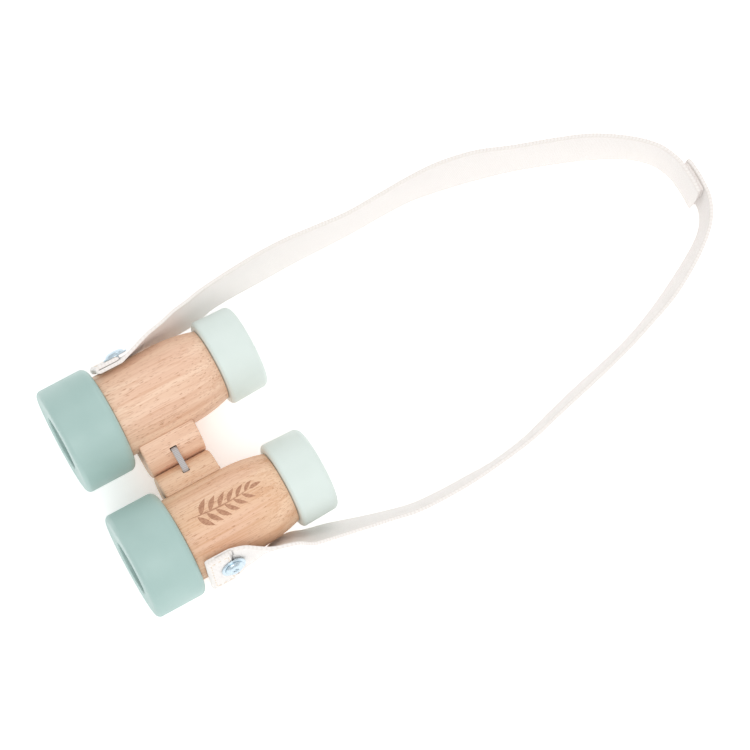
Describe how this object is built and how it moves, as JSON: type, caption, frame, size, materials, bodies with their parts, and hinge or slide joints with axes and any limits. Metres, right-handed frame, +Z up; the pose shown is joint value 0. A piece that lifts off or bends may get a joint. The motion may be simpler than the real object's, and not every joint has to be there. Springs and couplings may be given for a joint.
{
  "type": "toy binoculars",
  "caption": "Wooden toy binoculars: turned beech tubes with painted rings fold on a rolling block hinge tied by elastic, with a flat webbing neck strap.",
  "frame": {"origin": "bottom centre of the wooden body's box, on the surface that its rings rest on, without the strap", "axes": "+X to the user's right across both tubes, +Y forward to what is looked at, +Z up"},
  "size_m": [0.1488, 0.3306, 0.0548],
  "materials": {
    "beech": "satin clear lacquer over fine-grained beech",
    "teal_paint": "satin sage-teal paint on turned wood",
    "mint_paint": "satin pale mint paint on turned wood",
    "clear_plastic": "clear polished plastic",
    "grey_elastic": "ribbed woven elastic",
    "ivory_webbing": "fine twill cotton webbing",
    "bright_nickel": "bright nickel plate",
    "white_pile": "hook and loop pile"
  },
  "bodies": {
    "hinge_band": {"hinge_elastic": "grey_elastic", "left_strap": "ivory_webbing", "right_strap": "ivory_webbing", "left_closure_patch": "white_pile", "right_closure_patch": "white_pile"},
    "left_tube": {"left_objective_ring": "teal_paint", "left_objective_lens": "clear_plastic", "left_barrel": "beech", "left_eyepiece_lens": "clear_plastic", "left_eyepiece_ring": "mint_paint", "left_hinge_block": "beech", "left_hinge_dowel_front": "beech", "left_hinge_dowel_rear": "beech", "left_strap_screw": "bright_nickel", "left_strap_washer": "bright_nickel"},
    "right_tube": {"right_objective_ring": "teal_paint", "right_objective_lens": "clear_plastic", "right_barrel": "beech", "right_eyepiece_lens": "clear_plastic", "right_eyepiece_ring": "mint_paint", "right_hinge_block": "beech", "right_hinge_dowel_front": "beech", "right_hinge_dowel_rear": "beech", "right_strap_screw": "bright_nickel", "right_strap_washer": "bright_nickel"}
  },
  "joints": [
    {"name": "left_fold", "type": "hinge", "parent": "hinge_band", "child": "left_tube", "pos_m": [-0.01105, 0.00567, 0.01818], "axis": [0, 0.9971, 0.0766], "range_deg": [-63, 30], "deforming": ["hinge_elastic", "left_strap", "left_closure_patch"]},
    {"name": "right_fold", "type": "hinge", "parent": "hinge_band", "child": "right_tube", "pos_m": [0.01105, 0.00567, 0.01818], "axis": [0, -0.9971, -0.0766], "range_deg": [-63, 30], "deforming": ["right_strap", "right_closure_patch"]}
  ],
  "couplings": [
    {"joint": "right_fold", "follows": "left_fold", "ratio": 1}
  ]
}
